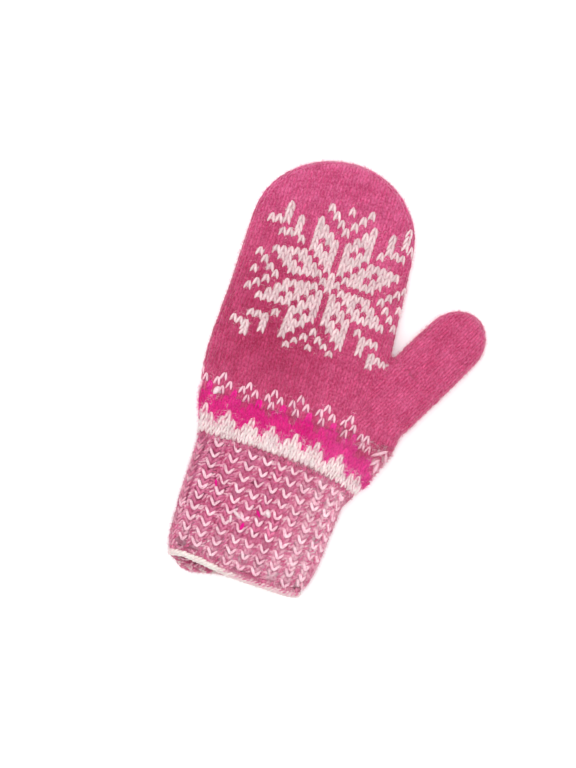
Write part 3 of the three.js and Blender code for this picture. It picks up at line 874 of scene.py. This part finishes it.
def knitCuff():
    for step in range(-1, rib["rows"] * 2 + 3):
        row = step / 2
        cream = step % 2 == 0 and 0 <= row <= rib["rows"]
        for k in range(len(rib["topColumns"])):
            x = ribColumn(k, 0.036)
            for again in range(2):
                first, last = (np.interp(x * 1000, rib["across"], rib[name]) for name in ("firstRow", "lastRow"))
                y = (first + (last - first) * row / rib["rows"]) / 1000
                x = ribColumn(k, y)
            left, right = bodySection(y)[:2]
            if y < -0.001 or x < left + 0.0005 or x > right - 0.0005:
                continue
            gap = (ribColumn(min(k + 1, 10), y) - ribColumn(max(k - 1, 0), y)) / (2 if 0 < k < 10 else 1)
            ribStitch(x, y, 1, cream, min(gap / 0.0092, 1.1))
            # The under side's columns go on round the cuff
            across = left + (k + 0.5) / 11 * (right - left)
            under = y * (mitten["cuffLength"] + mitten["mouthHang"] * 0.5) / mitten["cuffLength"]
            under -= mouthHangAt(across, y, 0.0) * 0.9
            ribStitch(across, under, -1, cream, 1.0)
    for hand in (-1, 1):
        for step in range(-1, rib["rows"] * 2 + 2):
            y = rib["sideTop"] - step * rib["sideCourse"]
            for share in rib["sideShares"]:
                left, right, low, high, roundness = bodySection(max(y, 0.0))
                across = (right if hand > 0 else left)
                away = abs(share - 0.5) / 0.5
                x = (left + right) / 2 + (across - (left + right) / 2) * (1 - away ** 3) ** (1 / 3)
                z = low + (high - low) * share
                cream = step % 2 == 0
                pale = 0.3 + 0.4 * chance.random() if cream else 0.2 * chance.random()
                tone = mixed(yarns["cuffPink"], yarns["cuffCream"], pale)
                outward = unit(acrossWay * hand + upWay * (share - body.sideHeight) * 2)
                centre = np.array([x, y - mouthHangAt(x, y, z), z])
                settled = settle((centre, unit(np.cross(alongWay, outward)), alongWay, outward))
                if settled is None:
                    continue
                centre, side, along, outward = settled
                # the ground between the side columns is darker, as painted shade
                covers.append((centre, outward, tone * 0.85))
                for lean in (-1, 1):
                    addLeg("rib_white_stitches" if cream else "rib_pink_stitches",
                           centre + side * lean * rib["sideApart"] - outward * rib["bumpSunk"],
                           unit(along + side * 0.6 * lean), outward, rib["sideSize"],
                           tone * (1 + chance.normal(0, stitch["strayTone"])))


# Strokes listed one by one: faults of the hand-spun yarn, and the band's last stitches at the stretched side.
# Place across and along in millimetres, turn in degrees, length and width in millimetres, and the yarn
slubs = {
    "diamondBlob": (-45.8, 102.6, 20, 5.0, 3.6, "slub"),
    "ribBlotchLeft": (-10.4, 34.4, -62, 6.5, 2.2, "slub"), "ribBlotchFoot": (-13.4, 30.8, -12, 4.4, 1.8, "slub"),
    "ribBlotchRight": (7.4, 40.6, -30, 4.6, 3.4, "slub"), "ribFleck": (-5.4, 28.4, 10, 4.2, 2.4, "hotPink"),
    "ribFleckUp": (1.6, 38.8, -40, 4.2, 2.0, "hotPink"), "ribFleckSide": (-28.6, 48.8, -20, 4.0, 1.8, "hotPink"),
    "sideUpper": (60.6, 96.3, 58, 9.4, 2.4, "diamond"), "sideTurn": (65.2, 95.4, -12, 6.4, 2.2, "diamond"),
    "sideLower": (59.6, 90.3, 48, 6.2, 2.3, "diamond"), "sideFoot": (61.4, 87.6, 8, 8.0, 2.6, "diamond"),
}


def addSlubs():
    for x, y, turn, length, width, yarn in slubs.values():
        settled = settleAt(x / 1000, y / 1000)
        if settled is None:
            print("no place for a stroke at", x, y)
            continue
        centre, side, along, outward = settled
        run = along * math.cos(math.radians(turn)) + side * math.sin(math.radians(turn))
        piece = "hot_pink_stitches" if yarn == "hotPink" else "star_and_diamond_stitches"
        addLeg(piece, centre + outward * 0.0003, run, outward,
               (width / 1000 / stitch["legWidth"], length / 1000 / stitch["legLength"], 0.9), yarns[yarn])
        covers.append((centre, outward, yarns[yarn]))


edge = {
    "loops": 70, "girth": 1.45, "length": 0.95, "radius": 0.0017, "up": 0.0006, "lipUp": 0.0012,
    # the lanes of loops: turn over the cord, and shift along it as a share of a loop
    "lanes": ((-0.6, 0.35), (0.1, 0.0), (0.85, 0.5), (1.6, 0.2), (2.4, 0.7)),
    # the rib's own last row, which the cord is worked on to
    "joinUp": 0.0027, "joinSize": (0.8, 0.66, 0.8), "joinSunk": 0.0004, "groundUp": 0.0032,
}


def castOnEdge():
    # A rolled white cord: slanting loops laid round the mouth in lanes, which hangs with the mouth
    x, z = body.loops[body.station(0.0)[0]]
    arc = body.arcs[body.station(0.0)[0]]
    line = []
    for a, b in zip(x, z):
        isLip = (1 - smoothStep(b, 0.004, 0.009)) * (1 - smoothStep(a, -0.012, 0.0))
        line.append((a, edge["up"] + (edge["lipUp"] - edge["up"]) * isLip - mouthHangAt(a, 0.0, b), b, isLip))
    line = np.array(line)

    def ringAt(s):
        return np.array([np.interp(s % arc[-1], arc, line[:, i]) for i in range(4)])

    for turn, shift in edge["lanes"]:
        for k in range(edge["loops"]):
            s = (k + shift) / edge["loops"] * arc[-1]
            spot = ringAt(s)
            point, isLip = spot[:3], spot[3]
            side = unit((ringAt(s + 0.001) - ringAt(s - 0.001))[:3])
            outward = unit(np.cross(side, alongWay))
            down = unit(np.cross(outward, side))
            if down[1] > 0:
                down = -down
            lean = outward * math.cos(turn) + down * math.sin(turn)
            middle = point - outward * edge["radius"] * 0.8 + lean * (edge["radius"] * (1 - 0.4 * isLip) - 0.0003)
            middle[2] = max(middle[2], 0.0005)
            run = unit(side * 0.86 + np.cross(lean, side) * (0.5 + chance.normal(0, 0.12)))
            mix = isLip * chance.random()
            thin = smoothStep(point[0], -0.016, 0.006) * smoothStep(point[2], 0.006, 0.010)
            stained = min(0.22 * chance.random() ** 2
                          + thin * (0.75 - 0.3 * turn) * (0.4 + 0.6 * chance.random()), 0.9)
            tone = mixed(mixed(yarns["edge"], yarns["lip"], stained),
                         mixed(yarns["lip"], yarns["cuffPink" if k % 3 else "edge"], mix), isLip)
            grow = edge["girth"] * (1 - 0.25 * isLip - 0.22 * thin) * (1 + chance.normal(0, 0.11))
            if turn < 0:
                tone = mixed(yarns["cuffPink"], yarns["cuffCream"], 0.6 * chance.random() ** 2)
                for share in (0.0, 0.5):
                    spot = ringAt(s + share / edge["loops"] * arc[-1])[:3] + alongWay * edge["joinUp"]
                    slant = unit(alongWay + side * chance.normal(0, 0.45))
                    addLeg("rib_pink_stitches", spot - outward * edge["joinSunk"], slant, outward, edge["joinSize"],
                           tone * (1 + chance.normal(0, 0.1)))
                covers.append((point + alongWay * edge["groundUp"] - outward * 0.0001, outward, yarns["cuffPink"]))
                if thin < 0.4:
                    continue
            addLeg("edge_loops", middle, run, lean, (grow, edge["length"], grow), tone * (1 + chance.normal(0, 0.04)))
            # the ground under the loops is darker, as painted shade
            covers.append((middle, lean, tone * 0.92))


lip = {"left": -0.0385, "right": -0.0125, "across": 0.0019, "rows": 6, "course": 0.0016, "foot": 0.0024,
       "height": 0.0038, "turn": 1.1, "sunk": 0.0002, "size": (0.85, 0.62, 0.8)}


def knitLip():
    # The under layer's inner face, where it shows below the cord
    for k in range(int((lip["right"] - lip["left"]) / lip["across"])):
        for row in range(lip["rows"]):
            x = lip["left"] + (k + 0.5 * (row % 2)) * lip["across"] + chance.normal(0, 0.0003)
            y = lip["foot"] - mouthHangAt(x, 0.0, 0.0) + row * lip["course"] + chance.normal(0, 0.0002)
            spot, normal = surface.find_nearest(inFrame((x, y, lip["height"])))[:2]
            if normal.z < 0.4:
                continue
            turn = chance.normal(lip["turn"], 0.5)
            run = acrossWay * math.sin(turn) + alongWay * math.cos(turn)
            tone = mixed(yarns["lip"], yarns["cuffCream" if (k + row) % 3 == 0 else "cuffShade"], chance.random())
            centre = fromFrame(spot) - upWay * lip["sunk"]
            addLeg("rib_white_stitches", centre, run, np.array(normal), lip["size"], tone)


knitBody()
knitRim("hand_back_stitches", bodySection, crownStart, mitten["crownLength"], np.array, mitten["wale"])
knitThumb()
knitRim("thumb_stitches", thumbSection, mitten["thumbLength"] - mitten["thumbTipLength"], mitten["thumbTipLength"],
        fromThumb, gusset["course"])
knitCuff()
castOnEdge()
knitLip()
addSlubs()
print("stitches placed", {name: len(rows) for name, rows in legs.items()})


def groupInputs(tree, wanted):
    made = {}
    for name, kind in wanted:
        made[name] = tree.interface.new_socket(name, in_out="INPUT", socket_type="NodeSocket" + kind).identifier
    tree.interface.new_socket("Geometry", in_out="OUTPUT", socket_type="NodeSocketGeometry")
    return made


def legTree():
    tree = bpy.data.node_groups.new("stitch legs", "GeometryNodeTree")
    names = groupInputs(tree, [
        ("Geometry", "Geometry"), ("Leg length", "Float"), ("Leg width", "Float"), ("Leg height", "Float"),
        ("Sides", "Int"), ("Rings", "Int"), ("Wool", "Material")])
    maker = Maker(tree)
    given = maker.node("NodeGroupInput")
    path = maker.node("GeometryNodeCurveQuadraticBezier", wires={
        "Resolution": given.beside("Rings"),
        "Start": (0, -0.5, -0.3), "Middle": (0, 0, 0.36), "End": (0, 0.5, -0.34)})
    along = maker.node("GeometryNodeSplineParameter", out="Factor")
    offCentre = along * 2 - 1
    taper = (1 - offCentre * offCentre) ** 0.5 * 0.66 + 0.34
    ring = maker.node("GeometryNodeCurvePrimitiveCircle", wires={"Resolution": given.beside("Sides"), "Radius": 0.5})
    leg = maker.node("GeometryNodeCurveToMesh", wires={
        "Curve": path, "Profile Curve": ring, "Scale": taper, "Fill Caps": True})
    height = maker.node("ShaderNodeSeparateXYZ", wires={"Vector": maker.node("GeometryNodeInputPosition")}, out="Z")
    # painted shade on the leg's low side, stored for the wool's flankShade
    deep = maker.node("ShaderNodeMapRange", {"interpolation_type": "SMOOTHSTEP"}, {
        "Value": height, "From Min": -0.05, "From Max": 0.42, "To Min": 1.0, "To Max": 0.0})
    leg = maker.node("GeometryNodeStoreNamedAttribute", {"data_type": "FLOAT", "domain": "POINT"}, {
        "Geometry": leg, "Name": "trough", "Value": deep})
    size = maker.node("ShaderNodeCombineXYZ", wires={
        "X": given.beside("Leg width"), "Y": given.beside("Leg length"), "Z": given.beside("Leg height")})
    leg = maker.node("GeometryNodeTransform", wires={"Geometry": leg, "Scale": size})
    rotation = maker.node("FunctionNodeEulerToRotation", wires={"Euler": maker.stored("turn", "FLOAT_VECTOR")})
    placed = maker.node("GeometryNodeInstanceOnPoints", wires={
        "Points": given.beside("Geometry"), "Instance": leg, "Rotation": rotation,
        "Scale": maker.stored("size", "FLOAT_VECTOR")})
    maker.finish(placed, given.beside("Wool"))
    return tree, names


def hairTree():
    tree = bpy.data.node_groups.new("wool fuzz", "GeometryNodeTree")
    names = groupInputs(tree, [
        ("Geometry", "Geometry"), ("Density", "Float"), ("Lift", "Float"), ("Hair length", "Float"),
        ("Hair width", "Float"), ("Spread", "Float"), ("Seed", "Int"), ("Wool", "Material")])
    maker = Maker(tree)
    given = maker.node("NodeGroupInput")
    density = given.beside("Density") * maker.stored("furry")
    points = maker.node("GeometryNodeDistributePointsOnFaces", wires={
        "Mesh": given.beside("Geometry"), "Density": density, "Seed": given.beside("Seed")})
    # The hairs start among the strands, above the ground of the fabric
    rise = maker.scaled(points.beside("Normal"), given.beside("Lift"))
    raised = maker.node("GeometryNodeSetPosition", wires={"Geometry": points, "Offset": rise})
    # One hair, a unit long
    path = maker.node("GeometryNodeCurvePrimitiveLine", wires={"Start": (0, 0, -0.1), "End": (0.2, 0, 0.95)})
    along = maker.node("GeometryNodeSplineParameter", out="Factor")
    ring = maker.node("GeometryNodeCurvePrimitiveCircle", wires={"Resolution": 3, "Radius": 1.0})
    taper = given.beside("Hair width") * (1 - along * 0.7)
    hair = maker.node("GeometryNodeCurveToMesh", wires={
        "Curve": path, "Profile Curve": ring, "Scale": taper, "Fill Caps": True})
    stray = maker.random("FLOAT_VECTOR", (-1, -1, -1), (1, 1, 1), given.beside("Seed"))
    aside = maker.scaled(stray, given.beside("Spread"))
    heading = maker.node("ShaderNodeVectorMath", {"operation": "ADD"}, {0: points.beside("Normal"), 1: aside})
    facing = maker.node("FunctionNodeAlignRotationToVector", {"axis": "Z"}, {"Vector": heading})
    spin = maker.random("FLOAT_VECTOR", (0, 0, 0), (0, 0, 6.28), given.beside("Seed") + 3)
    spun = maker.node("FunctionNodeRotateRotation", {"rotation_space": "LOCAL"}, {
        "Rotation": facing, "Rotate By": maker.node("FunctionNodeEulerToRotation", wires={"Euler": spin})})
    size = maker.random("FLOAT", 0.45, 1.5, given.beside("Seed") + 7)
    placed = maker.node("GeometryNodeInstanceOnPoints", wires={
        "Points": raised, "Instance": hair, "Rotation": spun, "Scale": size * given.beside("Hair length")})
    maker.finish(placed, given.beside("Wool"))
    return tree, names


def bake(piece, tree, names, values):
    # Runs a tree on a piece with its named inputs, and keeps the result as a plain mesh
    modifier = piece.modifiers.new("knit", "NODES")
    modifier.node_group = tree
    for name, value in values.items():
        modifier[names[name]] = value
    return keepResult(piece)


def storeTone(mesh, tones):
    attribute = mesh.attributes.get("tone") or mesh.attributes.new("tone", "FLOAT_COLOR", "POINT")
    tones = np.clip(np.array(tones), 0, 1)
    attribute.data.foreach_set("color", np.concatenate([tones, np.ones((len(tones), 1))], axis=1).ravel())


def storeValues(mesh, name, kind, values):
    attribute = mesh.attributes.new(name, kind, "POINT")
    attribute.data.foreach_set("vector" if kind == "FLOAT_VECTOR" else "value", np.array(values, dtype=float).ravel())


groundDepth = 0.0008


def pressFlat(mesh):
    # Wool under the mitten lies flat on the ground
    for vertex in mesh.vertices:
        if vertex.co.z < 0:
            vertex.co.z = -groundDepth * (1 - math.exp(vertex.co.z / groundDepth))


def knitPiece(name, rows, wool, tree, names):
    mesh = bpy.data.meshes.new(name + " points")
    mesh.from_pydata([inFrame(row[0]) for row in rows], [], [])
    turns = []
    for centre, along, outward, scale, tone in rows:
        side = unit(np.cross(along, outward))
        turns.append(tuple(Matrix((side, along, np.cross(side, along))).transposed().to_euler()))
    storeValues(mesh, "turn", "FLOAT_VECTOR", turns)
    storeValues(mesh, "size", "FLOAT_VECTOR", [row[3] for row in rows])
    storeTone(mesh, [row[4] for row in rows])
    piece = addObject(name, mesh)
    bake(piece, tree, names, {
        "Leg length": stitch["legLength"], "Leg width": stitch["legWidth"], "Leg height": stitch["legHeight"],
        "Sides": stitch["sides"], "Rings": stitch["rings"], "Wool": wool})
    if name in strands:
        swept = addObject(name + " strands", sweepStrands(name))
        swept.data.materials.append(wool)
        with bpy.context.temp_override(active_object=piece, selected_editable_objects=[piece, swept]):
            bpy.ops.object.join()
    pressFlat(piece.data)
    return piece


stitchSlots = {
    "hand_back_stitches": ("pink", "pink_wool"), "hand_palm_stitches": ("pink", "pink_wool"),
    "thumb_stitches": ("pink", "pink_wool"), "star_and_diamond_stitches": ("cream", "cream_wool"),
    "hot_pink_stitches": ("hotPink", "hot_pink_wool"), "white_peak_stitches": ("peak", "cream_wool"),
    "rib_white_stitches": ("ribWhite", "rib_wool"), "rib_pink_stitches": ("rib", "rib_wool"),
    "edge_loops": ("cream", "cream_wool"),
}
tree, names = legTree()
for name, (wool, slotName) in stitchSlots.items():
    piece = knitPiece(name, legs[name], wools[wool], tree, names)
    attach(piece, "root")
print("stitches knitted")

# The shells take the colour of the stitches over them, darkened as painted shade in the gaps between stitches, and
# the fuzz grows from them
finder = KDTree(len(covers))
for k, laid in enumerate(covers):
    finder.insert(inFrame(laid[0]), k)
finder.balance()
cover = {
    "near": 0.006, "gapShade": 0.82, "insideShade": 0.8, "strandsAround": 7, "nearFirst": 1.6, "softStar": 2.4,
    "sideFur": 1.8, "underFur": 0.35,
    "looks": {"cuff_edge": ("cream", "cream_wool", "lip"), "cuff": ("rib", "rib_wool", "cuffPink"),
              "wrist_band": ("hotPink", "hot_pink_wool", "pink"), "hand": ("pink", "pink_wool", "pink"),
              "thumb": ("pink", "pink_wool", "pink")},
}
hairTones = {}
for node, piece in shells.items():
    wool, slotName, inside = cover["looks"][node]
    mesh = piece.data
    tones, furry, nearest = [], [], []
    for vertex, normal in zip(mesh.vertices, mesh.vertex_normals):
        spot, k, away = finder.find(vertex.co)
        outward, tone = covers[k][1:3]
        isOuter = away < cover["near"] and normal.vector.dot(Vector(outward)) > -0.35
        thick = 1 + cover["sideFur"] * (1 - abs(normal.vector.z))
        if node == "hand" and tone is yarns["underWhite"]:
            thick *= cover["softStar"]
        furry.append(thick * (1.0 if normal.vector.z > -0.3 else cover["underFur"]) if isOuter else 0.0)
        # painted shade: the ground between the stitches and the inside faces are darker than the yarn
        tones.append(tone * cover["gapShade"] if isOuter else yarns[inside] * cover["insideShade"])
        # A loose hair comes from one of the strands around it
        close = finder.find_n(vertex.co, cover["strandsAround"])
        spot, k, away = close[int(chance.random() ** cover["nearFirst"] * len(close))]
        nearest.append(covers[k][-1])
    storeTone(mesh, tones)
    storeValues(mesh, "furry", "FLOAT", furry)
    hairTones[node] = nearest
    mesh.materials.clear()
    mesh.materials.append(wools[wool])
    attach(piece, "root")
    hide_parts(node)
print("shells coloured")

fuzz = {
    # piece, slot, hairs on a square millimetre, length, width as a share of it, start above the ground,
    # how far the hairs lie over, brightness, seed
    # a brightness above 1 lifts the hairs above the yarn's own colour, as painted light against the shade among them
    "cuff_edge": ("edge_fuzz", "cream_wool", 1.6, 0.0022, 0.03, 0.0008, 1.8, 1.0, 20),
    "cuff": ("cuff_fuzz", "rib_wool", 1.15, 0.0019, 0.027, 0.0006, 1.8, 1.15, 21),
    "wrist_band": ("band_fuzz", "hot_pink_wool", 2.3, 0.0022, 0.034, 0.0008, 2.4, 1.2, 22),
    "hand": ("hand_fuzz", "pink_wool", 0.55, 0.0018, 0.03, 0.0006, 1.6, 1.25, 23),
    "thumb": ("thumb_fuzz", "pink_wool", 0.6, 0.0018, 0.03, 0.0006, 1.6, 1.25, 24),
}
tree, names = hairTree()
for node in shells:
    name, slotName, onSquare, length, width, lift, spread, bright, seed = fuzz[node]
    mesh = shells[node].data.copy()
    # painted light: the hairs are brighter than the yarn they come from
    storeTone(mesh, np.array(hairTones[node]) * bright + 0.02 * (bright > 1))
    piece = addObject(name, mesh)
    bake(piece, tree, names, {"Density": onSquare * 1e6, "Lift": lift, "Hair length": length, "Hair width": width,
                              "Spread": spread, "Seed": seed, "Wool": wools["fuzz"]})
    pressFlat(piece.data)
    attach(piece, "root")
added = {o.name: sum(len(p.vertices) - 2 for p in o.data.polygons) for o in bpy.data.objects
         if o.type == "MESH" and ("stitches" in o.name or "fuzz" in o.name or "loops" in o.name)}
print("fuzz grown; triangles", added, "in all", sum(added.values()))


# Floor, light and camera
studio = {"pixel": 0.00061, "starPixel": (330, 284), "imageSize": (576, 768), "tilt": 18, "lens": 100,
          "starUp": 0.1854, "floorDrop": 0.0009, "floorTone": 0.86, "floorGlow": 0.26, "worldLight": 0.86}


def studioFloor():
    mesh = bpy.data.meshes.new("floor")
    half, z = 2.0, -studio["floorDrop"]
    mesh.from_pydata([(-half, -half, z), (half, -half, z), (half, half, z), (-half, half, z)], [], [(0, 1, 2, 3)])
    floor = addObject("studio_floor", mesh)
    material = bpy.data.materials.new("paleFloor")
    material.use_nodes = True
    shader = material.node_tree.nodes["Principled BSDF"]
    shader.inputs["Base Color"].default_value = (studio["floorTone"], studio["floorTone"], studio["floorTone"], 1)
    shader.inputs["Roughness"].default_value = 0.9
    shader.inputs["Specular IOR Level"].default_value = 0.1
    shader.inputs["Emission Color"].default_value = (1, 1, 1, 1)
    shader.inputs["Emission Strength"].default_value = studio["floorGlow"]
    mesh.materials.append(material)


def softBox(name, place, size, power):
    lamp = bpy.data.lights.new(name, "AREA")
    lamp.shape, lamp.size, lamp.energy = "SQUARE", size, power
    holder = addObject(name, lamp)
    holder.location = place
    holder.rotation_euler = (-Vector(place)).to_track_quat("-Z", "Y").to_euler()


def camera():
    tilt = math.radians(studio["tilt"])
    across = studio["imageSize"][0] / 2 - studio["starPixel"][0]
    down = studio["imageSize"][1] / 2 - studio["starPixel"][1]
    x = (across * math.cos(tilt) + down * math.sin(tilt)) * studio["pixel"]
    y = (across * math.sin(tilt) - down * math.cos(tilt)) * studio["pixel"] + studio["starUp"]
    lens = bpy.data.cameras.new("camera")
    lens.lens, lens.sensor_width, lens.sensor_fit = studio["lens"], 36, "AUTO"
    away = studio["lens"] * studio["imageSize"][1] * studio["pixel"] / 36
    holder = addObject("camera", lens)
    holder.location = (footX + x, footY + y, away + 0.012)
    holder.rotation_euler = (0, 0, tilt)
    bpy.context.scene.camera = holder


def light():
    world = bpy.data.worlds.new("studio")
    world.use_nodes = True
    world.node_tree.nodes["Background"].inputs["Color"].default_value = (1, 1, 1, 1)
    world.node_tree.nodes["Background"].inputs["Strength"].default_value = studio["worldLight"]
    bpy.context.scene.world = world
    softBox("key", (-0.4, 0.6, 1.2), 1.0, 9)
    softBox("fill", (0.7, -0.4, 1.3), 1.2, 5)
    bpy.context.scene.view_settings.view_transform = "Standard"


studioFloor()
light()
camera()
print("studio set")
